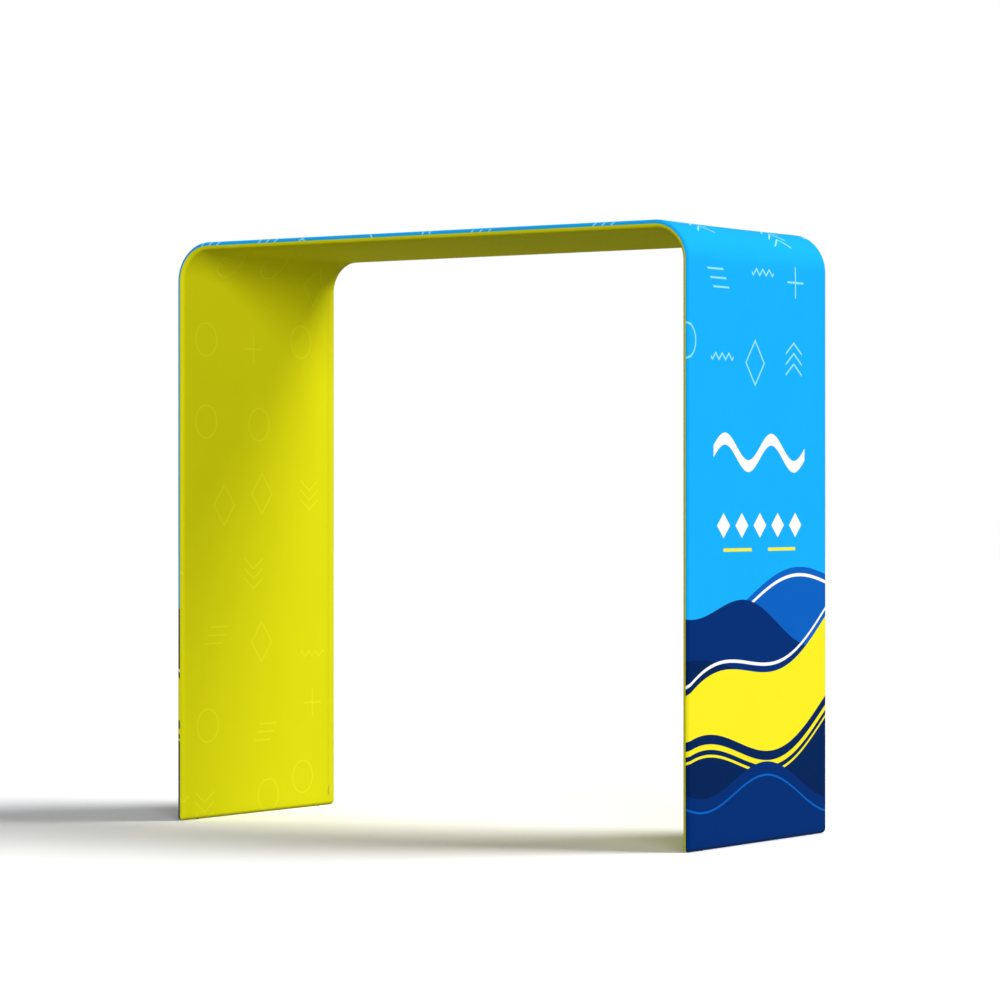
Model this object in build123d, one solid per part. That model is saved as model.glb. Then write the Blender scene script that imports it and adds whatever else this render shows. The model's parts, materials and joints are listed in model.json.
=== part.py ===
"""Fabric arch display: a U-shaped portal of stretched printed cloth over a two-hoop tube frame.

X runs along the width, Y along the depth with the front at -Y, and Z is up. The origin lies on the
floor under the middle of the arch. Lengths are in millimetres.
"""
import os
from collections import namedtuple
from math import sqrt

from build123d import *

# The dressed arch, over the cloth
arch_width = 2400.0
arch_depth = 1000.0
arch_height = 2300.0
corner_radius = 152.0

# Cloth cover
cloth_thickness = 0.5
cloth_clearance = 0.2

# Hoop tubes, their swaged spigots and the welded foot frames
hoop_od = 28.0
hoop_wall = 1.2
corner_tail = 150.0
foot_riser = 31.0
spigot_length = 45.0
spigot_clearance = 0.1
spigot_lead_in = 0.6
swage_neck = 5.0

# Braces between the two hoops, and the sockets that carry them
brace_od = 19.0
brace_wall = 1.2
collar_length = 8.0
socket_length = 40.0
leg_brace_rise = 40.0
top_brace_offset = 60.0

# Snap buttons: a larger one in the hoops and a smaller one in the braces
hoop_button_radius = 4.0
brace_button_radius = 3.0
button_clearance = 0.1
button_proud = 3.0
button_dome = 2.2
button_flange = 1.2
button_seat_gap = 0.15
strip_thickness = 0.6
strip_tail = 3.0
strip_seat_gap = 0.05
hoop_strip_reach = 16.0
brace_strip_reach = 14.0

# Rubber floor pads, pushed through the cloth into the foot frames
pad_radius = 9.0
pad_proud = 2.0
pad_chamfer = 0.6
pad_inset = 90.0
pad_seat_gap = 0.05
stem_radius = 3.0
stem_fit = 0.1
stem_eyelet_gap = 0.3
stem_head = 1.0
stem_head_height = 3.0

# Zip set in the inner cloth near the rear edge
zip_inset = 45.0
zip_start = 70.0
zip_slot_margin = 1.4
tape_thickness = 0.5
tape_width = 13.0
tape_gap = 2.6
tape_tail = 10.0
coil_width = 6.2
coil_thickness = 1.4
stop_width = 2.2
stop_length = 3.0
stop_inset = 0.2
stop_margin = 3.0

# Zip slider and its pull
slider_width = 8.6
slider_length = 14.0
slider_corner = 2.5
slider_plate = 1.2
slider_back_plate = 1.0
slider_gap = 0.3
slider_back_gap = 0.4
slider_neck = 3.0
slider_flange = 0.8
crown_width = 2.6
crown_wall = 0.9
pull_pin_radius = 0.8
pull_play = 0.3
pull_side_play = 0.4
pull_arm = 2.0
pull_length = 32.0
pull_window = 4.5
pull_corner = 2.0
pull_hole_radius = 2.0
pull_hole_edge = 5.0

# Worked out from the sizes above: radii measured from the cloth's mid-surface
tube_radius = hoop_od / 2
tube_bore = tube_radius - hoop_wall
skin_inside = tube_radius + cloth_clearance
skin_outside = skin_inside + cloth_thickness
brace_radius = brace_od / 2
collar_end = tube_radius + collar_length

# Worked out from the sizes above: the mid-surface and the stations along a hoop
mid_x = arch_width / 2 - skin_outside
mid_y = arch_depth / 2 - skin_outside
mid_top = arch_height - skin_outside
bend_radius = corner_radius - skin_outside
bend_x = mid_x - bend_radius
bend_z = mid_top - bend_radius
foot_z = pad_proud + skin_outside
leg_base = foot_z + foot_riser
riser_neck = leg_base - 2 * swage_neck
corner_base = bend_z - corner_tail
leg_joint = (leg_base + corner_base) / 2
top_end = bend_x - corner_tail
snap_setback = spigot_length / 2
zip_y = mid_y + skin_outside - zip_inset

SIDES = {"left": -1, "right": 1}
ROWS = {"front": -1, "rear": 1}

# A locking joint: its name, the point on the tube's axis, the way to the spigot's root, the way
# the button points, the bore that holds its spring, and the outside of the tube that it locks
Snap = namedtuple("Snap", "name centre root outward bore outer button_radius reach")

parts = {}


def placed(shape, origin, z_dir, x_dir=None):
    """The shape moved from the origin to a point, with its Z axis turned to a direction."""
    return Plane(origin=origin, x_dir=x_dir, z_dir=z_dir).location * shape


def turned(points):
    """A solid of revolution about Z from (radius, height) points."""
    return revolve(Plane.XZ * make_face(Polyline(*points, close=True)), Axis.Z)


def fit_radii(bore, wall):
    """Outside and inside radius of a spigot that slides into a bore."""
    outside = bore - spigot_clearance
    return outside, outside - wall


def plain_tube(start, end, outside, wall):
    """A straight tube between two points."""
    length = (Vector(*end) - Vector(*start)).length
    bore = outside - wall
    ring = turned([(bore, 0), (outside, 0), (outside, length), (bore, length)])
    return placed(ring, start, Vector(*end) - Vector(*start))


def swaged_tube(start, end):
    """A hoop tube between two points, with a reduced spigot standing past its end."""
    length = (Vector(*end) - Vector(*start)).length
    fit_outside, fit_inside = fit_radii(tube_bore, hoop_wall)
    neck = length - swage_neck
    tip = length + spigot_length
    profile = [
        (tube_bore, 0),
        (tube_radius, 0),
        (tube_radius, length),
        (fit_outside, length),
        (fit_outside, tip - spigot_lead_in),
        (fit_outside - spigot_lead_in, tip),
        (fit_inside, tip),
        (fit_inside, neck),
        (tube_bore, neck - hoop_wall),
    ]
    return placed(turned(profile), start, Vector(*end) - Vector(*start))


def tube_ring():
    """The cut section of a hoop tube."""
    return Circle(tube_radius) - Circle(tube_bore)


def button_hole(snap):
    """The round hole that a button stands in, through one wall of both tubes."""
    depth = snap.outer + button_proud
    hole = extrude(Circle(snap.button_radius + button_clearance), depth)
    return placed(hole, snap.centre, snap.outward)


def drilled(solid, *snaps):
    """The solid with the holes of its snap joints."""
    for snap in snaps:
        solid = solid - button_hole(snap)
    return solid


def flange_seat(snap):
    """Height of the flat flange's face where it meets the curved bore."""
    flange_radius = snap.button_radius + button_flange
    return sqrt(snap.bore**2 - flange_radius**2) - button_seat_gap


def snap_button(snap):
    """A domed steel button with a flange that stops it inside the spigot."""
    seat = flange_seat(snap)
    flange = extrude(Circle(snap.button_radius + button_flange), -button_flange)
    shank = extrude(Circle(snap.button_radius), snap.outer + button_proud - seat)
    shank = fillet(shank.edges().group_by(Axis.Z)[-1], button_dome)
    return placed(Pos(0, 0, seat) * (flange + shank), snap.centre, snap.outward)


def snap_spring(snap):
    """A strip bent into a U in the bore: one leg under the button, the other on the far wall."""
    half_width = snap.button_radius
    top = flange_seat(snap) - button_flange
    bottom = strip_seat_gap - sqrt(snap.bore**2 - half_width**2)
    middle = (top + bottom) / 2
    height = top - bottom
    open_end = -snap.button_radius - strip_tail
    leg = snap.reach - open_end
    centre_x = (snap.reach + open_end) / 2
    bend = Pos(snap.reach, middle)
    outside = Pos(centre_x, middle) * Rectangle(leg, height) + bend * Circle(height / 2)
    inner_height = height - 2 * strip_thickness
    hollow = Pos(centre_x - strip_thickness, middle) * Rectangle(leg + 2 * strip_thickness, inner_height)
    hollow = hollow + bend * Circle(inner_height / 2)
    strip = extrude(Plane.XZ * (outside - hollow), half_width, both=True)
    return placed(strip, snap.centre, snap.outward, snap.root)


def brace_socket(centre, direction, tube_direction):
    """A collar and spigot welded to a hoop tube, for the end of a brace."""
    fit_outside, fit_inside = fit_radii(brace_radius - brace_wall, brace_wall)
    tip = collar_end + socket_length
    profile = [
        (fit_inside, 0),
        (brace_radius, 0),
        (brace_radius, collar_end),
        (fit_outside, collar_end),
        (fit_outside, tip - spigot_lead_in),
        (fit_outside - spigot_lead_in, tip),
        (fit_inside, tip),
    ]
    tube_core = extrude(Circle(tube_bore), hoop_od, both=True)
    return placed(turned(profile), centre, direction) - placed(tube_core, centre, tube_direction)


def brace_places():
    """Each brace: its name, its x and z, the tube that carries it, and the way its button points."""
    places = []
    leg_z = leg_joint + spigot_length + leg_brace_rise
    for side_name, side in SIDES.items():
        leg_x = side * mid_x
        shoulder_x = side * (bend_x - corner_tail / 2)
        inward = (-side, 0, 0)
        places.append((f"leg_brace_{side_name}", leg_x, leg_z, f"upper_leg_{side_name}", (0, 0, -1)))
        places.append((f"shoulder_brace_{side_name}", shoulder_x, mid_top, f"corner_{side_name}", inward))
    places.append(("top_brace", -top_brace_offset, mid_top, "top_left", (-1, 0, 0)))
    return places


def brace_snap(name, x, z, outward):
    """The snap joint at the front end of a brace."""
    bore = fit_radii(brace_radius - brace_wall, brace_wall)[1]
    centre = (x, collar_end + socket_length / 2 - mid_y, z)
    to_root = (0, -1, 0)
    button = f"{name}_button"
    return Snap(button, centre, to_root, outward, bore, brace_radius, brace_button_radius, brace_strip_reach)


def hoop_snap(name, centre, root, row):
    """A snap joint between two hoop tubes, its button pointing into the arch's thickness."""
    bore = fit_radii(tube_bore, hoop_wall)[1]
    outward = (0, -row, 0)
    return Snap(name, centre, root, outward, bore, tube_radius, hoop_button_radius, hoop_strip_reach)


def hoop_snaps(row_name, row):
    """The nine snap joints of one hoop, by place."""
    y = row * mid_y
    snaps = {}
    for side_name, side in SIDES.items():
        for place, base in (("foot", leg_base), ("leg", leg_joint), ("corner", corner_base)):
            centre = (side * mid_x, y, base + snap_setback)
            name = f"{row_name}_{place}_button_{side_name}"
            snaps[place, side_name] = hoop_snap(name, centre, (0, 0, -1), row)
        centre = (side * (top_end - snap_setback), y, mid_top)
        name = f"{row_name}_top_button_{side_name}"
        snaps["top", side_name] = hoop_snap(name, centre, (side, 0, 0), row)
    centre = (snap_setback, y, mid_top)
    snaps["middle", "both"] = hoop_snap(f"{row_name}_middle_button", centre, (-1, 0, 0), row)
    return snaps


def corner_tube(side, row):
    """A bent corner: a plain end down the leg, a quarter bend and a spigot along the top."""
    y = row * mid_y
    leg_end = plain_tube((side * mid_x, y, corner_base), (side * mid_x, y, bend_z), tube_radius, hoop_wall)
    section = placed(tube_ring(), (side * mid_x, y, bend_z), (0, 0, 1))
    bend = revolve(section, Axis((side * bend_x, y, bend_z), (0, -side, 0)), 90)
    top_tail = swaged_tube((side * bend_x, y, mid_top), (side * top_end, y, mid_top))
    return leg_end + bend + top_tail


def make_hoop(row_name, row):
    """The eight tubes of one hoop, with their sockets and button holes."""
    y = row * mid_y
    snaps = hoop_snaps(row_name, row)
    tubes = {}
    for side_name, side in SIDES.items():
        x = side * mid_x
        tubes[f"lower_leg_{side_name}"] = swaged_tube((x, y, leg_base), (x, y, leg_joint))
        tubes[f"upper_leg_{side_name}"] = swaged_tube((x, y, leg_joint), (x, y, corner_base))
        tubes[f"corner_{side_name}"] = corner_tube(side, row)
    tubes["top_left"] = swaged_tube((-top_end, y, mid_top), (0, y, mid_top))
    tubes["top_right"] = plain_tube((0, y, mid_top), (top_end, y, mid_top), tube_radius, hoop_wall)
    for name, x, z, carrier, outward in brace_places():
        along = (0, 0, 1) if carrier.startswith("upper_leg") else (1, 0, 0)
        socket = brace_socket((x, y, z), (0, -row, 0), along)
        if row_name == "front":
            socket = drilled(socket, brace_snap(name, x, z, outward))
        tubes[carrier] = tubes[carrier] + socket
    for side_name in SIDES:
        lower, upper, corner, top = (f"{n}_{side_name}" for n in ("lower_leg", "upper_leg", "corner", "top"))
        tubes[lower] = drilled(tubes[lower], snaps["foot", side_name], snaps["leg", side_name])
        tubes[upper] = drilled(tubes[upper], snaps["leg", side_name], snaps["corner", side_name])
        tubes[corner] = drilled(tubes[corner], snaps["corner", side_name], snaps["top", side_name])
        tubes[top] = drilled(tubes[top], snaps["top", side_name], snaps["middle", "both"])
    for name, solid in tubes.items():
        parts[f"{row_name}_{name}"] = solid
    return snaps.values()


def pad_places(side):
    """The centres of one leg's two floor pads, on the floor."""
    return [(side * mid_x, row * (mid_y - pad_inset), 0) for row in ROWS.values()]


def foot_core(x, radius):
    """A round bar along the depth with a ball at each end and a round riser on each ball."""
    core = placed(extrude(Circle(radius), 2 * mid_y), (x, -mid_y, foot_z), (0, 1, 0))
    riser = extrude(Circle(radius), riser_neck - foot_z)
    for row in ROWS.values():
        core = core + Pos(x, row * mid_y, foot_z) * (Sphere(radius) + riser)
    return core


def make_foot_frame(side_name, side, snaps):
    """The welded foot: a bar along the depth, two hollow ball corners and two risers with spigots."""
    x = side * mid_x
    frame = foot_core(x, tube_radius) - foot_core(x, tube_bore)
    for row in ROWS.values():
        frame = frame + swaged_tube((x, row * mid_y, riser_neck), (x, row * mid_y, leg_base))
    for place in pad_places(side):
        frame = frame - placed(extrude(Circle(stem_radius + stem_fit), foot_z), place, (0, 0, 1))
    parts[f"foot_frame_{side_name}"] = drilled(frame, *snaps)


def make_braces():
    """The five tubes that hold the hoops apart, each locked at its front end."""
    snaps = []
    reach = mid_y - collar_end
    for name, x, z, _, outward in brace_places():
        snap = brace_snap(name, x, z, outward)
        tube = plain_tube((x, -reach, z), (x, reach, z), brace_radius, brace_wall)
        parts[name] = drilled(tube, snap)
        snaps.append(snap)
    return snaps


def make_snaps(snaps):
    """Every button as a piece of its own, and their identical springs as one group."""
    for snap in snaps:
        parts[snap.name] = snap_button(snap)
    parts["button_springs"] = Compound(children=[snap_spring(snap) for snap in snaps])


def arch_area(offset, bottom):
    """The upright area inside the arch's mid-surface, grown by an offset."""
    height = mid_top + offset - bottom
    area = Pos(0, bottom + height / 2) * Rectangle(2 * (mid_x + offset), height)
    return fillet(area.vertices().group_by(Axis.Y)[-1], bend_radius + offset)


def arch_layer(near, far, front, back, bottom):
    """A layer that follows the arch, between two offsets from its mid-surface."""
    section = arch_area(far, bottom) - arch_area(near, bottom)
    return Pos(0, back, 0) * extrude(Plane.XZ * section, back - front)


def edge_section(facing):
    """A quarter ring of cloth: its X points away from the sheet and its Y out of the arch."""
    quarter = Pos(skin_outside, facing * skin_outside) * Rectangle(2 * skin_outside, 2 * skin_outside)
    return (Circle(skin_outside) - Circle(skin_inside)) & quarter


def cloth_corner(facing, side, row):
    """The eighth of a hollow ball that closes a panel round the end of a foot bar."""
    span = 2 * skin_outside
    eighth = Pos(facing * side * skin_outside, row * skin_outside, -skin_outside) * Box(span, span, span)
    return Pos(side * mid_x, row * mid_y, foot_z) * ((Sphere(skin_outside) - Sphere(skin_inside)) & eighth)


def cloth_panel(facing):
    """One panel of the cover, outer (1) or inner (-1), wrapped half round the edge tubes."""
    offsets = sorted((facing * skin_inside, facing * skin_outside))
    panel = arch_layer(*offsets, -mid_y, mid_y, foot_z)
    edge = edge_section(facing)
    for row in ROWS.values():
        y = row * mid_y
        turns = [(-mid_x, y, foot_z), (-mid_x, y, mid_top), (mid_x, y, mid_top), (mid_x, y, foot_z)]
        path = FilletPolyline(*turns, radius=bend_radius)
        section = placed(edge, turns[0], (0, 0, row), (0, row, 0))
        panel = panel + sweep(section, path)
    eyelet = extrude(Circle(stem_radius + stem_eyelet_gap), foot_z)
    for side in SIDES.values():
        section = placed(edge, (side * mid_x, side * mid_y, foot_z), (0, -side, 0), (0, 0, -1))
        panel = panel + extrude(section, 2 * mid_y)
        for row in ROWS.values():
            panel = panel + cloth_corner(facing, side, row)
        for place in pad_places(side):
            panel = panel - placed(eyelet, place, (0, 0, 1))
    return panel


def make_cover():
    """The outer and inner cloth panels, which meet on the mid-line of the edge tubes."""
    parts["outer_panel"] = cloth_panel(1)
    slot_half = coil_width / 2 + zip_slot_margin
    slot = arch_layer(
        -skin_outside - cloth_thickness,
        -skin_inside + cloth_thickness,
        zip_y - slot_half,
        zip_y + slot_half,
        zip_start - stop_length - stop_margin,
    )
    parts["inner_panel"] = cloth_panel(-1) - slot


def floor_pad():
    """A rubber pad, hollowed on top to the round foot, with the mushroom stem that holds it."""
    pad = extrude(Circle(pad_radius), foot_z)
    pad = chamfer(pad.edges().group_by(Axis.Z)[0], pad_chamfer)
    foot = extrude(Circle(skin_outside + pad_seat_gap), 2 * pad_radius, both=True)
    pad = pad - placed(foot, (0, 0, foot_z), (0, 1, 0))
    head_z = foot_z - sqrt(tube_bore**2 - (stem_radius + stem_head) ** 2) + stem_fit
    stem_length = head_z - pad_chamfer + stem_head_height / 2
    stem = Pos(0, 0, pad_chamfer) * extrude(Circle(stem_radius), stem_length)
    head = Pos(0, 0, head_z) * extrude(Circle(stem_radius + stem_head), stem_head_height)
    head = chamfer(head.edges().group_by(Axis.Z)[-1], stem_head)
    return pad + stem + head


def make_floor_pads():
    """The four floor pads, as one group."""
    pad = floor_pad()
    places = [place for side in SIDES.values() for place in pad_places(side)]
    parts["floor_pads"] = Compound(children=[Pos(*place) * pad for place in places])


def make_zip():
    """Two tapes sewn behind the inner cloth, a coil down each half, and the metal end stops."""
    tape_near = -skin_inside
    tape_far = tape_near + tape_thickness
    bottom = zip_start - stop_length - stop_margin - tape_tail
    tapes = []
    stops = []
    stop_face = tape_near - coil_thickness
    for row in ROWS.values():
        edges = sorted((zip_y + row * tape_gap / 2, zip_y + row * (tape_gap / 2 + tape_width)))
        tapes.append(arch_layer(tape_near, tape_far, *edges, bottom))
        stop_y = zip_y + row * (tape_gap / 2 + stop_inset + stop_width / 2)
        stop_mid = (tape_near + stop_face) / 2
        for side in SIDES.values():
            foot_stop = Box(coil_thickness, stop_width, stop_length)
            stops.append(Pos(side * (mid_x + stop_mid), stop_y, zip_start - stop_length / 2) * foot_stop)
        top_stop = Box(stop_length, stop_width, coil_thickness)
        stops.append(Pos(0, stop_y, mid_top + stop_mid) * top_stop)
    parts["zip_tapes"] = Compound(children=tapes)
    parts["zip_stops"] = Compound(children=stops)
    half_coil = coil_width / 2
    coil_start = zip_start + slider_neck + slider_gap
    whole = arch_layer(stop_face, tape_near, zip_y - half_coil, zip_y + half_coil, coil_start)
    half_space = Box(arch_width, arch_depth, 2 * arch_height)
    half_shift = (arch_width + stop_length + 2 * slider_gap) / 2
    coils = [whole & Pos(side * half_shift, 0, 0) * half_space for side in SIDES.values()]
    parts["zip_coils"] = Compound(children=coils)


def make_slider(side_name, side):
    """One die-cast slider and its pull, parked on the foot stops, in a frame that faces the opening."""
    face_height = skin_inside + coil_thickness + slider_gap
    back_height = skin_inside - tape_thickness - slider_back_gap
    outline = RectangleRounded(slider_width, slider_length, slider_corner)
    plate = Pos(0, 0, face_height) * extrude(outline, slider_plate)
    back = Pos(0, 0, back_height) * extrude(outline, -slider_back_plate)
    neck_width = tape_gap - 2 * slider_gap
    neck_y = (slider_neck - slider_length) / 2
    neck_depth = face_height - back_height
    neck = Pos(0, neck_y, (face_height + back_height) / 2) * Box(neck_width, slider_neck, neck_depth)
    body = plate + back + neck
    flange_low = skin_outside + slider_gap
    flange_depth = face_height - flange_low
    flange_length = slider_length - 2 * slider_corner
    for edge in (-1, 1):
        flange_x = edge * (slider_width - slider_flange) / 2
        flange = Box(slider_flange, flange_length, flange_depth)
        body = body + Pos(flange_x, 0, flange_low + flange_depth / 2) * flange
    opening = 2 * (pull_pin_radius + pull_play)
    plate_top = face_height + slider_plate
    crown = Box(crown_width, opening + 2 * crown_wall, opening + crown_wall)
    crown = fillet(crown.edges().filter_by(Axis.X).group_by(Axis.Z)[-1], crown_wall)
    crown = crown - Pos(0, 0, -crown_wall / 2) * Box(crown_width, opening, opening)
    body = body + Pos(0, 0, plate_top + (opening + crown_wall) / 2) * crown
    centre = (side * mid_x, zip_y, zip_start + slider_length / 2)
    inward = (-side, 0, 0)
    parts[f"zip_slider_{side_name}"] = placed(body, centre, inward, (0, -side, 0))

    window_width = crown_width + 2 * pull_side_play
    tab_width = window_width + 2 * pull_arm
    tab = Pos(0, -pull_length / 2, 0) * Box(tab_width, pull_length, 2 * pull_pin_radius)
    tab = fillet(tab.edges().filter_by(Axis.Z).group_by(Axis.Y)[0], pull_corner)
    tab = tab - Box(window_width, 2 * pull_window, 4 * pull_pin_radius)
    tab = tab - Pos(0, pull_hole_edge - pull_length, 0) * Cylinder(pull_hole_radius, 4 * pull_pin_radius)
    tab = tab + Rot(0, 90, 0) * Cylinder(pull_pin_radius, tab_width)
    pin_height = plate_top + pull_play + pull_pin_radius
    parts[f"zip_pull_{side_name}"] = placed(Pos(0, 0, pin_height) * tab, centre, inward, (0, -side, 0))


def make_arch():
    """Every piece of the arch, from the foot frames to the cover and its zip."""
    snaps = []
    foot_snaps = {name: [] for name in SIDES}
    for row_name, row in ROWS.items():
        snaps.extend(make_hoop(row_name, row))
        for side_name in SIDES:
            foot_snaps[side_name].append(hoop_snaps(row_name, row)["foot", side_name])
    for side_name, side in SIDES.items():
        make_foot_frame(side_name, side, foot_snaps[side_name])
    snaps.extend(make_braces())
    make_snaps(snaps)
    make_cover()
    make_floor_pads()
    make_zip()
    for side_name, side in SIDES.items():
        make_slider(side_name, side)


make_arch()
os.makedirs("parts", exist_ok=True)
for node, shape in parts.items():
    export_step(shape, f"parts/{node}.step")
    print(node, "volume", round(shape.volume))
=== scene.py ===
"""A square fabric arch: two printed cloth panels zipped over a knock-down frame of aluminium tubes.

X runs along the width, Y along the depth with the front at -Y, and Z is up, in metres.
"""
import json
from math import ceil, cos, pi, radians, sin

import bmesh
import bpy
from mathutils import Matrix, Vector


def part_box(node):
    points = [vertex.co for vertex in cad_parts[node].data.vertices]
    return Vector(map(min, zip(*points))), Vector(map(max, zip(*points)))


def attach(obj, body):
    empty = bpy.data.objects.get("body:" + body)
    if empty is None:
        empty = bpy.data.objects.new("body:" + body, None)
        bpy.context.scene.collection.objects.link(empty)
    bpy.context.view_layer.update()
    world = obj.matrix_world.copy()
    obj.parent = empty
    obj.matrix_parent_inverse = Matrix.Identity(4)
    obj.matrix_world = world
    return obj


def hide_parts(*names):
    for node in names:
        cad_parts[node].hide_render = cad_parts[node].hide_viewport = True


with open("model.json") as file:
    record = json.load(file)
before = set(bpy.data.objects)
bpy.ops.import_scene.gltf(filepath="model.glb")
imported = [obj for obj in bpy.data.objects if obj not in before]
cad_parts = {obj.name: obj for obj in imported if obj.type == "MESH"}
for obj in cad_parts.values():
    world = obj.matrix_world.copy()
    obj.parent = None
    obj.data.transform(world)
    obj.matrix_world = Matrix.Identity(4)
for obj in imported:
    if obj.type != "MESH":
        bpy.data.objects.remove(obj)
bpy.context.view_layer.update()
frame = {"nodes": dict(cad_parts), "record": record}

# The camera stands level, 1.28 m up, to the right of the arch and about 14.5 m away, with a long
# lens. These values put the arch's outline where the photograph has it.
camera_place = (8.3057, -11.9313, 1.2778)
camera_turn = 34.776
camera_lens = 133.75
sensor_width = 36.0

camera_data = bpy.data.cameras.new("camera")
camera_data.lens = camera_lens
camera_data.sensor_width = sensor_width
camera_data.clip_end = 200.0
camera = bpy.data.objects.new("camera", camera_data)
camera.location = camera_place
camera.rotation_euler = (pi / 2, 0, radians(camera_turn))
bpy.context.scene.collection.objects.link(camera)
bpy.context.scene.camera = camera
bpy.context.scene.view_settings.view_transform = "Standard"


# Materials are written as plain sums. A Strand is one socket of a material, and maths on it adds
# the Math nodes that do the same.
class Strand:
    def __init__(self, tree, socket):
        self.tree = tree
        self.socket = socket

    def node(self, kind, inputs, output=0, **settings):
        """A node of that kind: its settings first, then the values or links of its sockets."""
        made = self.tree.nodes.new(kind)
        for name, value in settings.items():
            setattr(made, name, value)
        for name, value in inputs.items():
            if isinstance(value, Strand):
                self.tree.links.new(value.socket, made.inputs[name])
            else:
                made.inputs[name].default_value = value
        return Strand(self.tree, made.outputs[output])

    def maths(self, operation, *values, clamped=False):
        inputs = dict(enumerate((self, *values)))
        return self.node("ShaderNodeMath", inputs, operation=operation, use_clamp=clamped)

    def __add__(self, other):
        return self.maths("ADD", other)

    __radd__ = __add__

    def __sub__(self, other):
        return self.maths("SUBTRACT", other)

    def __rsub__(self, other):
        return self.maths("MULTIPLY_ADD", -1, other)

    def __mul__(self, other):
        return self.maths("MULTIPLY", other)

    __rmul__ = __mul__

    def __truediv__(self, other):
        return self.maths("DIVIDE", other)

    def __abs__(self):
        return self.maths("ABSOLUTE")

    def sine(self):
        return self.maths("SINE")

    def root(self):
        return self.maths("SQRT")

    def whole(self):
        return self.maths("FLOOR")

    def part(self):
        return self.maths("FRACT")

    def least(self, other):
        return self.maths("MINIMUM", other)

    def most(self, other):
        return self.maths("MAXIMUM", other)

    def within(self, soft=0.001):
        """1 where the value is below nought and 0 above, with an edge as wide as soft."""
        return self.maths("MULTIPLY_ADD", -1 / soft, 0.5, clamped=True)

    def blend(self, share, other):
        """This colour, covered by another one by a share."""
        inputs = {0: share, 6: self, 7: other}
        return self.node("ShaderNodeMix", inputs, output=2, data_type="RGBA")

    def other_output(self, output):
        """Another output of the node that this one comes from."""
        return Strand(self.tree, self.socket.node.outputs[output])


def drive(shader, strand, socket):
    """Feeds one socket of a shader."""
    strand.tree.links.new(strand.socket, shader.inputs[socket])


def coated(piece, material):
    """Puts a material on a piece or a node in place of what it has."""
    piece.data.materials.clear()
    piece.data.materials.append(material)


# The floor and the air are white to the eye, and the floor keeps the arch's shadow. A wide sun high
# on the right, a little behind the arch, draws the shadows out to the left. A low one in front
# lights the faces that the camera sees, a weaker one the back, and the sky is even.
floor_half = 60.0
floor_seen = 1.22
floor_bounce = 0.22
sky_fill = 0.14
key_towards = (0.53, 0.35, 0.77)
fill_towards = (0.68, -0.72, 0.08)
back_towards = (-0.82, 0.56, 0.12)

bm = bmesh.new()
bmesh.ops.create_grid(bm, x_segments=1, y_segments=1, size=floor_half)
floor_mesh = bpy.data.meshes.new("floor")
bm.to_mesh(floor_mesh)
bm.free()
floor_piece = bpy.data.objects.new("floor", floor_mesh)
bpy.context.scene.collection.objects.link(floor_piece)


def seen_rays(tree):
    """1 for the rays of the camera, of reflections and of what lies behind glass, and 0 for others."""
    rays = tree.nodes.new("ShaderNodeLightPath")
    camera_ray, glossy_ray, transmission_ray = (
        Strand(tree, rays.outputs[f"Is {kind} Ray"]) for kind in ("Camera", "Glossy", "Transmission")
    )
    return camera_ray.most(glossy_ray).most(transmission_ray)


floor_material = bpy.data.materials.new("studio_floor")
floor_material.use_nodes = True
floor_tree = floor_material.node_tree
floor_tree.nodes.clear()
floor_out = floor_tree.nodes.new("ShaderNodeOutputMaterial")
seen = seen_rays(floor_tree)
floor_white = seen * (floor_seen - floor_bounce) + floor_bounce
matt = seen.node("ShaderNodeBsdfDiffuse", {"Color": floor_white})
floor_tree.links.new(matt.socket, floor_out.inputs["Surface"])
coated(floor_piece, floor_material)

sky = bpy.data.worlds.new("sky")
bpy.context.scene.world = sky
sky.use_nodes = True
sky_shader = sky.node_tree.nodes["Background"]
sky_shader.inputs["Color"].default_value = (1, 1, 1, 1)
drive(sky_shader, seen_rays(sky.node_tree) * (1 - sky_fill) + sky_fill, "Strength")


def sun(name, towards, strength, width):
    """A sun that stands in a direction, as wide as given in degrees to soften its shadows."""
    data = bpy.data.lights.new(name, "SUN")
    data.energy = strength
    data.angle = radians(width)
    lamp = bpy.data.objects.new(name, data)
    lamp.rotation_euler = Vector(towards).to_track_quat("Z", "Y").to_euler()
    bpy.context.scene.collection.objects.link(lamp)


sun("key_sun", key_towards, strength=2.4, width=30)
sun("fill_sun", fill_towards, strength=3.1, width=36)
sun("back_sun", back_towards, strength=0.8, width=60)

# The cover is two panels of stretch cloth, cut flat as long strips and wrapped over the hoops, each
# half round the edge tubes. Both are worked out flat, and this says where a flat point comes to lie.
# The flat place has its across along Y and its along from one foot over the top to the other.
low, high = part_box("outer_panel")
skin = high.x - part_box("inner_panel")[1].x
corner_radius = 0.152
mid_x = high.x - skin
mid_y = high.y - skin
mid_top = high.z - skin
bend_radius = corner_radius - skin
bend_x = mid_x - bend_radius
bend_z = mid_top - bend_radius
foot_z = low.z + skin
leg_length = bend_z - foot_z
edge_wrap = skin * pi / 2
half_width = mid_y + edge_wrap
OUTER, INNER = 1, -1
cloth_thickness = 0.0005


def bend_length(facing):
    """How much cloth one top corner takes."""
    return (bend_radius + facing * skin) * pi / 2


def foot_reach(facing):
    """The along of a foot bar's axis."""
    return bend_x + bend_length(facing) + leg_length


def half_length(facing):
    """Half the length of a panel's flat cut."""
    return foot_reach(facing) + edge_wrap


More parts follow.
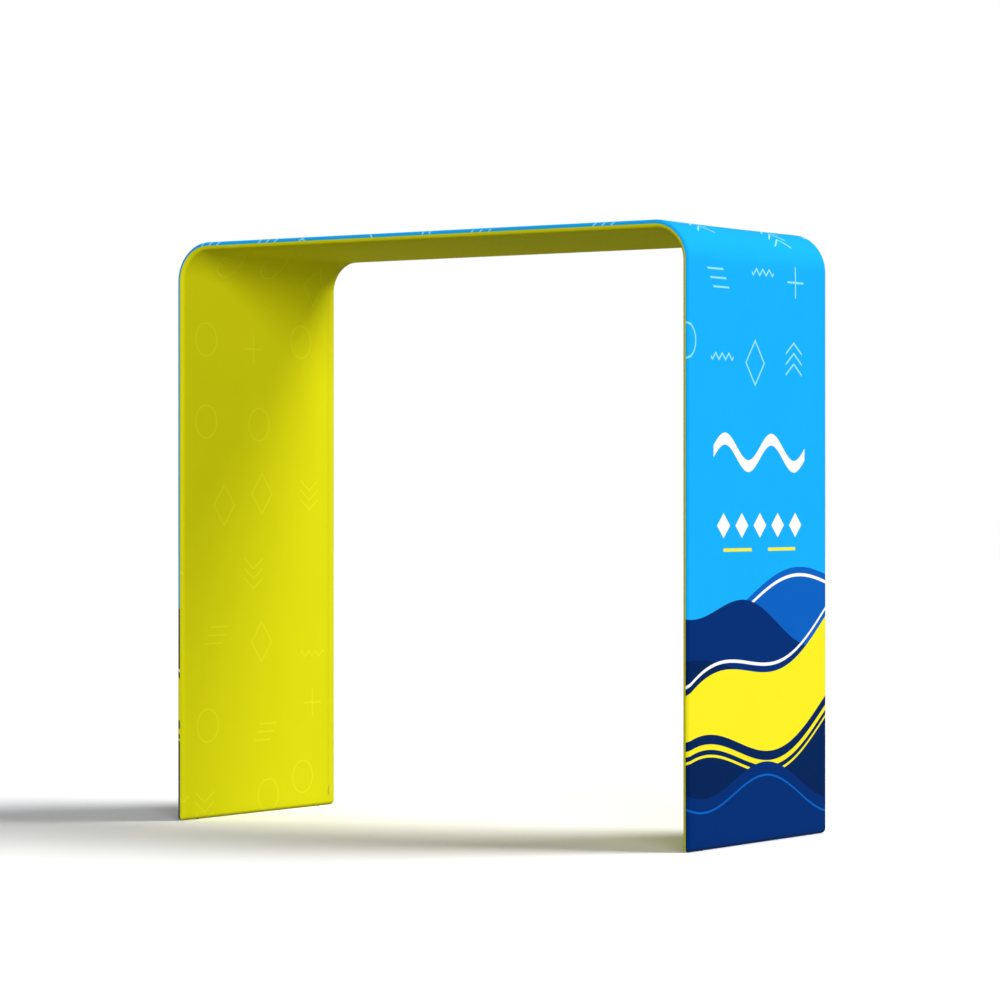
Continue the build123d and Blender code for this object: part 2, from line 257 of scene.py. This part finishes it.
def on_arch(along, facing):
    """A point of the arch's mid-surface with its tangent away from the top, and its outward normal."""
    way = 1 if along >= 0 else -1
    run = abs(along)
    angle = min(max((run - bend_x) / bend_length(facing), 0), 1) * pi / 2
    flat_run = min(run, bend_x)
    down = max(run - bend_x - bend_length(facing), 0)
    x = way * (flat_run + bend_radius * sin(angle))
    z = bend_z + bend_radius * cos(angle) - down
    tangent = Vector((way * cos(angle), 0, -sin(angle)))
    normal = Vector((way * sin(angle), 0, cos(angle)))
    return Vector((x, 0, z)), tangent, normal


# Cloth that is stretched between two hoops can't follow them in the middle of a bend. It is drawn
# in towards the inside of the bend, the outer panel half as far as the inner one.
pull_fade = 0.10
pull_depth = {OUTER: 0.004, INNER: 0.008}
pull_fullness = 0.75


def pull_in(across, along, facing):
    """How far the cloth between the hoops is drawn towards the inside of a top corner."""
    start = bend_x - pull_fade
    end = bend_x + bend_length(facing) + pull_fade
    share = (abs(along) - start) / (end - start)
    if not 0 < share < 1:
        return 0.0
    between = max(1 - (across / mid_y) ** 2, 0)
    return pull_depth[facing] * sin(pi * share) ** 2 * between**pull_fullness


# The seam allowances behind the cloth lift it a little beside the seam, which itself lies in a groove.
seam_ridge = 0.0006
seam_ridge_width = 0.005
seam_groove_width = 0.0009


def seam_rise(to_edge):
    """How far the cloth stands out at some distance from its cut edge."""
    if to_edge > seam_ridge_width:
        return 0.0
    groove = max(1 - to_edge / seam_groove_width, 0)
    return seam_ridge * (sin(pi * max(to_edge, 0) / seam_ridge_width) - groove)


def wrapped(across, along, facing):
    """Where a point of the flat cloth lies once the panel is on the frame."""
    reach = foot_reach(facing)
    core = Vector((max(min(across, mid_y), -mid_y), max(min(along, reach), -reach)))
    over = Vector((across, along)) - core
    angle = over.length / skin
    over.normalize()
    place, tangent, normal = on_arch(core.y, facing)
    radius = skin + seam_rise(edge_wrap - angle * skin)
    height = facing * cos(angle) * radius - pull_in(core.x, core.y, facing)
    beyond = over.y * (1 if core.y >= 0 else -1) * sin(angle) * radius
    place.y = core.x + over.x * sin(angle) * radius
    return place + tangent * beyond + normal * height


def spread(start, end, step):
    """Evenly spaced places from start to end, both included, no further apart than a step."""
    count = max(ceil((end - start) / step - 1e-6), 1)
    return [start + (end - start) * i / count for i in range(count + 1)]


def cut_lines(bm, places, axis):
    """Cuts the flat cloth along straight lines across one axis."""
    for place in places:
        point = Vector((0, 0, 0))
        point[axis] = place
        normal = Vector((0, 0, 0))
        normal[axis] = 1
        everything = bm.verts[:] + bm.edges[:] + bm.faces[:]
        bmesh.ops.bisect_plane(bm, geom=everything, dist=1e-6, plane_co=point, plane_no=normal)


# The cloth's faces: wide apart on the straights, close in the bends, and in narrow rings along the
# cut edge, which goes round the tubes.
straight_step = 0.09
bend_step = 0.012
bend_margin = 0.02
seam_rings = (0.0006, 0.0006, 0.0012, 0.0022, 0.0026, 0.0028, 0.0030, 0.0030, 0.0030)
corner_steps = 12
corner_point = 0.0001


def bend_stations(facing):
    """Where a panel is cut across its length."""
    bend_end = bend_x + bend_length(facing)
    places = spread(0, bend_x - bend_margin, straight_step)
    places += spread(bend_x - bend_margin / 3, bend_end + bend_margin / 3, bend_step)
    places += spread(bend_end + bend_margin, foot_reach(facing) - bend_margin, straight_step)
    return sorted({round(way * place, 6) for place in places for way in (-1, 1)})


def flat_panel(facing):
    """A panel as it's cut: a long strip with rounded corners and rings of faces along its edge."""
    bm = bmesh.new()
    bmesh.ops.create_grid(bm, x_segments=1, y_segments=1, size=1)
    bmesh.ops.scale(bm, vec=(half_width, half_length(facing), 1), verts=bm.verts)
    corners = bm.verts[:]
    bmesh.ops.bevel(
        bm,
        geom=corners,
        offset=edge_wrap,
        segments=corner_steps,
        profile=0.5,
        affect="VERTICES",
        material=-1,
    )
    middle = bm.faces[:]
    for step in (*seam_rings, edge_wrap - sum(seam_rings) - corner_point):
        bmesh.ops.inset_region(
            bm, faces=middle, thickness=step, use_boundary=True, use_even_offset=True
        )
    cut_lines(bm, spread(bend_margin - mid_y, mid_y - bend_margin, straight_step), 0)
    cut_lines(bm, bend_stations(facing), 1)
    return bm


def lay_on_frame(bm, facing, name):
    """Keeps each flat point as the cloth's own UV map, in metres, and wraps the cloth on the frame."""
    uv = bm.loops.layers.uv.new("cloth")
    for face in bm.faces:
        face.smooth = True
        for loop in face.loops:
            loop[uv].uv = loop.vert.co.xy
    for vert in bm.verts:
        vert.co = wrapped(vert.co.x, vert.co.y, facing)
    if facing == INNER:
        bmesh.ops.reverse_faces(bm, faces=bm.faces[:])
    mesh = bpy.data.meshes.new(name)
    bm.to_mesh(mesh)
    bm.free()
    piece = bpy.data.objects.new(name, mesh)
    bpy.context.scene.collection.objects.link(piece)
    thick = piece.modifiers.new("cloth_thickness", "SOLIDIFY")
    thick.thickness = cloth_thickness
    thick.offset = -1
    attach(piece, "frame_and_cover")
    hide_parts("outer_panel" if facing == OUTER else "inner_panel")
    flat = (2 * half_width, 2 * half_length(facing))
    return piece


# A dye is written as its hex code, and each material starts as one shader with its constants.
def dye(code):
    """A printer's hex colour, as linear red, green and blue with full cover."""
    parts = [int(code[i : i + 2], 16) / 255 for i in (0, 2, 4)]
    return tuple(p / 12.92 if p <= 0.04045 else ((p + 0.055) / 1.055) ** 2.4 for p in parts) + (1.0,)


def new_material(name, roughness, metallic=0.0, **constants):
    """A material, its shader with the constant sockets set, and a Strand to start its sums from."""
    material = bpy.data.materials.new(name)
    material.use_nodes = True
    shader = material.node_tree.nodes["Principled BSDF"]
    shader.inputs["Roughness"].default_value = roughness
    shader.inputs["Metallic"].default_value = metallic
    for socket, value in constants.items():
        shader.inputs[socket.replace("_", " ")].default_value = value
    return material, shader, Strand(material.node_tree, shader.outputs[0])


def flat_colour(strand, colour):
    """A plain colour to blend others into."""
    plain = strand.node("ShaderNodeRGB", {})
    plain.socket.default_value = colour
    return plain


# The print is dyed into the cloth. Its ground is a clear blue strewn with outlined shapes, and
# layered waves with a yellow ribbon fill the lower part of each leg, with a plain mark above them.
sky_blue = dye("16B0FB")
pale_blue = dye("A2ECFF")
mid_blue = dye("0860C0")
royal_blue = dye("002C72")
navy = dye("001F55")
sun_yellow = dye("FDF022")
white = dye("FFFFFF")


def flat_place(strand):
    """The across and along of the cloth's own UV map."""
    uv = strand.node("ShaderNodeUVMap", {}, uv_map="cloth")
    across = uv.node("ShaderNodeSeparateXYZ", {0: uv})
    return across, across.other_output(1)


def off_nearest(value, pitch):
    """How far a value is from the nearest whole multiple of a pitch."""
    many_pitches = 20.5
    return abs((value / pitch + many_pitches).part() - 0.5) * pitch


# Six kinds of shape are drawn, and the cells of a seventh kind stay bare.
shape_kinds = 7


def strewn_shapes(across, along, cell, unit, line, drift):
    """A mask of outlined shapes, at most one in a cell, each drawn in its own unit."""
    many_cells = 50.5
    column = (across / cell + many_cells).whole()
    row = (along / cell + many_cells).whole()
    spot = column.node("ShaderNodeCombineXYZ", {0: column, 1: row, 2: drift})
    hashed = spot.node("ShaderNodeTexWhiteNoise", {"Vector": spot}, output=1, noise_dimensions="3D")
    shift_x = hashed.node("ShaderNodeSeparateColor", {0: hashed})
    shift_y = shift_x.other_output(1)
    kind = (shift_x.other_output(2) * shape_kinds).whole()
    shape_width = 2.6 * unit
    room = cell - shape_width
    x = (((across / cell + many_cells).part() - 0.5) * cell - (shift_x - 0.5) * room) / unit
    y = (((along / cell + many_cells).part() - 0.5) * cell - (shift_y - 0.5) * room) / unit
    thin = line / unit
    wide, tall = abs(x), abs(y)
    ring = abs((x * x + y * y).root() - 1) - thin
    cross = (wide - 0.9).most(tall - thin).least((tall - 0.9).most(wide - thin))
    diamond = abs(wide + tall * 0.8 - 1) - thin * 1.3
    slope = y - wide * 0.7
    chevrons = (off_nearest(slope, 0.6) - thin * 1.2).most(wide - 0.9).most(abs(slope) - 0.85)
    zigzag = (abs(y + 0.17 - off_nearest(x, 0.7)) - thin * 1.4).most(wide - 1.2)
    rungs = (off_nearest(y, 0.5) - thin).most(tall - 0.7).most(abs(x - y * 0.6) - 0.85)
    mask = 0.0
    for index, shape in enumerate((ring, cross, diamond, chevrons, zigzag, rungs)):
        chosen = (1 - abs(kind - index)).most(0)
        mask = (shape.within(0.02) * chosen).most(mask)
    return mask


def wave_line(across, base, slope, swing, waves, shift):
    """The height of a wave over the leg's foot, for each place across the leg."""
    return across * slope + base + (across * (2 * pi * waves) + shift).sine() * swing


line_half = 0.006
line_gap = 0.030
stripes = ((0.045, 0.010), (0.078, 0.005))


def print_leg(ground, across, height):
    """The layered waves and the ribbon on the lower part of a leg."""
    crest = wave_line(across, 0.93, 0.10, 0.075, 0.80, 0.4)
    second = wave_line(across, 0.84, -0.14, 0.060, 1.15, 2.2)
    third = wave_line(across, 0.70, 0.16, 0.080, 0.75, 4.1)
    deep = wave_line(across, 0.24, -0.06, 0.070, 1.05, 1.2)
    ribbon_top = wave_line(across, 0.68, 0.34, 0.085, 0.85, 3.6)
    ribbon_low = wave_line(across, 0.42, 0.22, 0.100, 0.80, 3.9)
    art = ground.blend((height - crest).within(), mid_blue)
    art = art.blend((abs(height - crest + line_gap) - line_half).within(), white)
    art = art.blend((height - second).within(), royal_blue)
    art = art.blend((height - third).within(), navy)
    art = art.blend((height - ribbon_top).most(ribbon_low - height).within(), sun_yellow)
    art = art.blend((abs(height - ribbon_top - line_gap) - line_half).within(), white)
    for gap, half in stripes:
        art = art.blend((abs(height - ribbon_low + gap) - half).within(), sun_yellow)
    art = art.blend((height - deep).within(), royal_blue)
    fine_gap, fine_half = 0.05, 0.004
    return art.blend((abs(height - deep + fine_gap) - fine_half).within(), mid_blue)


mark_half = 0.33
mark_wave_height = 1.46
mark_wave_half = 0.022
diamond_height = 1.19
diamond_pitch = 0.13
diamond_half = 0.046
diamond_count = 5
dash_height = 1.10
dash_middle = 0.16
dash_half = 0.10


def print_mark(ground, across, height):
    """A plain mark above the waves: a bold white wave, and diamonds over a broken yellow line."""
    middle_line = wave_line(across, mark_wave_height, slope=0, swing=0.050, waves=3.0, shift=0.0)
    wave = abs(height - middle_line) - mark_wave_half
    art = ground.blend(wave.most(abs(across) - mark_half).within(), white)
    diamonds = off_nearest(across, diamond_pitch) + abs(height - diamond_height) - diamond_half
    diamonds = diamonds.most(abs(across) - diamond_pitch * diamond_count / 2)
    art = art.blend(diamonds.within(), white)
    dashes = (abs(height - dash_height) - line_half).most(abs(abs(across) - dash_middle) - dash_half)
    return art.blend(dashes.within(), sun_yellow)


# Both cloths are the same fine knit: a soft grain in height and shade with faint ribs along the
# cloth, and a thin dark line along the seam where the two are sewn together: the stitching, with
# painted shade for the groove the seam lies in.
rib_pitch = 0.0012
grain_scale = 900.0
cloud_scale = 5.0
seam_line = 0.0006
seam_soft = 0.0008
# The seam's dark line is painted shade of the groove that the seam lies in, laid over the stitching.
seam_shadow_strength = 0.55
seam_shadow_colour = (0.0, 0.0, 0.0, 1.0)


def noise(place, scale, detail=2.0, **settings):
    """Soft noise between nought and one."""
    inputs = {"Vector": place, "Scale": scale, "Detail": detail}
    return place.node("ShaderNodeTexNoise", inputs, **settings)


def roughen(shader, height, strength, distance):
    """Feeds a height through a bump into the shader's normal."""
    bump = height.node("ShaderNodeBump", {"Height": height, "Strength": strength, "Distance": distance})
    drive(shader, bump, "Normal")


def knit(shader, across, along, facing, colour):
    """Paints shade into the seam's groove, adds the knit's grain and feeds both to the shader."""
    to_edge = (half_width - abs(across)).least(half_length(facing) - abs(along))
    # Painted shade: the cloth is blended towards black in a thin line along its sewn edge.
    seam_with_painted_shade = colour.blend((to_edge - seam_line).within(seam_soft) * seam_shadow_strength, seam_shadow_colour)
    spot = across.node("ShaderNodeCombineXYZ", {0: across, 1: along * 0.7})
    grain = noise(spot, grain_scale, noise_dimensions="2D")
    cloud = noise(spot, cloud_scale, noise_dimensions="2D")
    rib = (across * (2 * pi / rib_pitch)).sine()
    tone = 1 - (cloud - 0.5) * 0.04 - (grain - 0.5) * 0.08
    shaded = tone.node("ShaderNodeVectorMath", {0: seam_with_painted_shade, "Scale": tone}, operation="SCALE")
    drive(shader, shaded, "Base Color")
    drive(shader, 0.78 + (grain - 0.5) * 0.2, "Roughness")
    roughen(shader, grain * 0.8 + rib * 0.15, strength=0.35, distance=0.0004)


# The outer panel: one strip of polyester knit, printed edge to edge and sewn to the inner one on
# the mid-line of the edge tubes. It is pulled tight over both hoops.
outer_material, outer_shader, strand = new_material(
    "outer_cloth", 0.8, Specular_IOR_Level=0.03, Sheen_Weight=0.03, Sheen_Tint=(0.2, 0.8, 0.8, 1)
)
across, along = flat_place(strand)
height = half_length(OUTER) - abs(along)
shape_cell = 0.27
shape_rows = 6.5
shape_strength = 0.85
shapes = strewn_shapes(across, along, shape_cell, unit=0.066, line=0.0036, drift=5.0)
strewn = shapes * (abs(along) - shape_rows * shape_cell).within() * shape_strength
art = flat_colour(strand, sky_blue).blend(strewn, pale_blue)
art = print_mark(art, across, height)
art = print_leg(art, across, height)
knit(outer_shader, across, along, OUTER, art)

outer_cloth = lay_on_frame(flat_panel(OUTER), OUTER, "outer_cloth")
coated(outer_cloth, outer_material)

# The inner panel: the same knit in yellow-green, with shapes a shade lighter, sewn to the outer one
# along all its edge. A slot near its rear edge holds the zip.
inner_yellow = dye("E0DE10")
inner_light = dye("EEF22A")
inner_cell = 0.30
inner_strength = 0.5
slot_half = 0.0045
slot_hem = 0.002
slot_margin = 0.003
zip_across = (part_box("zip_coils")[0].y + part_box("zip_coils")[1].y) / 2
slot_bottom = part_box("zip_stops")[0].z - slot_margin
slot_reach = foot_reach(INNER) - (slot_bottom - foot_z)

inner_material, inner_shader, strand = new_material(
    "inner_cloth", 0.8, Specular_IOR_Level=0.02, Sheen_Weight=0.03, Sheen_Tint=(0.9, 0.9, 0.2, 1)
)
across, along = flat_place(strand)
shapes = strewn_shapes(across, along, inner_cell, unit=0.066, line=0.0034, drift=8.0)
art = flat_colour(strand, inner_yellow).blend(shapes * inner_strength, inner_light)
knit(inner_shader, across, along, INNER, art)

bm = flat_panel(INNER)
slot_edges = (slot_half, slot_half + slot_hem)
cut_lines(bm, [zip_across + way * edge for way in (-1, 1) for edge in slot_edges], 0)
cut_lines(bm, [-slot_reach, slot_reach], 1)
in_slot = []
for face in bm.faces:
    middle = face.calc_center_median()
    if abs(middle.x - zip_across) < slot_half and abs(middle.y) < slot_reach:
        in_slot.append(face)
bmesh.ops.delete(bm, geom=in_slot, context="FACES")
inner_cloth = lay_on_frame(bm, INNER, "inner_cloth")
coated(inner_cloth, inner_material)


def finish(slot, material):
    """Gives a material to every node of the construction that has this slot."""
    for part in frame["record"]["subparts"]:
        if part["material_slot"] == slot:
            coated(frame["nodes"][part["node"]], material)


def solid_place(strand):
    """The place in the object's own space."""
    return strand.node("ShaderNodeTexCoord", {}, output=3)


# The hoops, foot frames and braces are drawn aluminium tube, cut, bent, swaged and pushed into each
# other, with a satin anodised skin of fine grain and a little handling wear. The cloth hides them.
def aluminium(name, shade, rough):
    """Satin anodised tube with faint grain and soft clouding."""
    material, shader, strand = new_material(name, rough, metallic=1.0)
    place = solid_place(strand)
    cloud = noise(place, 14.0, 4.0)
    grain = noise(place, 700.0)
    clean = (shade, shade, shade * 1.02, 1)
    worn = (shade * 0.8, shade * 0.81, shade * 0.83, 1)
    drive(shader, flat_colour(strand, clean).blend(cloud * 0.25, worn), "Base Color")
    drive(shader, rough + (cloud - 0.5) * 0.16 + (grain - 0.5) * 0.1, "Roughness")
    roughen(shader, grain, strength=0.12, distance=0.0003)
    return material


finish("hoop_aluminium", aluminium("hoop_aluminium", shade=0.78, rough=0.34))
finish("brace_aluminium", aluminium("brace_aluminium", shade=0.74, rough=0.4))


# The snap buttons and their springs are small steel pressings, zinc plated and blued. Each sits
# inside a tube's end, and its button clicks out through a hole in the tube around it.
def pressed_steel(name, colour, rough):
    """Plated or blued steel with a faint grain."""
    material, shader, strand = new_material(name, rough, metallic=1.0)
    grain = noise(solid_place(strand), 900.0, 3.0)
    shaded = tuple(part * 0.7 for part in colour[:3]) + (1,)
    drive(shader, flat_colour(strand, colour).blend((grain - 0.35) * 0.5, shaded), "Base Color")
    drive(shader, rough + (grain - 0.5) * 0.2, "Roughness")
    return material


zinc = (0.72, 0.73, 0.74, 1)
blued = (0.2, 0.22, 0.28, 1)
finish("button_steel", pressed_steel("button_steel", zinc, rough=0.28))
finish("spring_steel", pressed_steel("spring_steel", blued, rough=0.35))


# The floor pads are dark moulded rubber, matt and slightly dusty. They are pushed through eyelets in
# the cloth into the foot bars, and keep the cover off the floor.
def moulded_rubber(name):
    """Matt rubber with dust in its grain."""
    material, shader, strand = new_material(name, 0.75)
    dust = noise(solid_place(strand), 120.0, 4.0)
    rubber = flat_colour(strand, (0.028, 0.028, 0.03, 1))
    drive(shader, rubber.blend(dust * 0.3, (0.1, 0.098, 0.092, 1)), "Base Color")
    drive(shader, 0.65 + dust * 0.2, "Roughness")
    roughen(shader, dust, strength=0.2, distance=0.0003)
    return material


finish("pad_rubber", moulded_rubber("pad_rubber"))


# The zip is sewn into the inner panel's slot: polyester tapes, nylon coils, and die-cast sliders and
# stops. It is dyed to the cloth, and its metal is lacquered in the same colour, so it hardly shows.
def dyed_fibre(name, colour, shade, scale, rough):
    """Woven tape or coil, dyed, with a fine grain."""
    material, shader, strand = new_material(name, rough, Specular_IOR_Level=0.2)
    weave = noise(solid_place(strand), scale)
    drive(shader, flat_colour(strand, colour).blend((weave - 0.3) * 0.5, shade), "Base Color")
    drive(shader, rough + (weave - 0.5) * 0.2, "Roughness")
    roughen(shader, weave, strength=0.3, distance=0.0003)
    return material


def lacquered_metal(name, colour, shade):
    """Die-cast zinc under an even lacquer, slightly worn."""
    material, shader, strand = new_material(name, 0.35, Coat_Weight=0.3)
    wear = noise(solid_place(strand), 260.0, 3.0)
    drive(shader, flat_colour(strand, colour).blend((wear - 0.4) * 0.4, shade), "Base Color")
    drive(shader, 0.3 + wear * 0.2, "Roughness")
    return material


tape = dyed_fibre("zip_tape", inner_yellow, dye("C4C412"), scale=1400.0, rough=0.8)
coil = dyed_fibre("zip_coil", inner_yellow, dye("C8C814"), scale=600.0, rough=0.5)
finish("zip_tape", tape)
finish("zip_coil", coil)
finish("zip_metal", lacquered_metal("zip_metal", dye("D2D21C"), dye("A9AA20")))
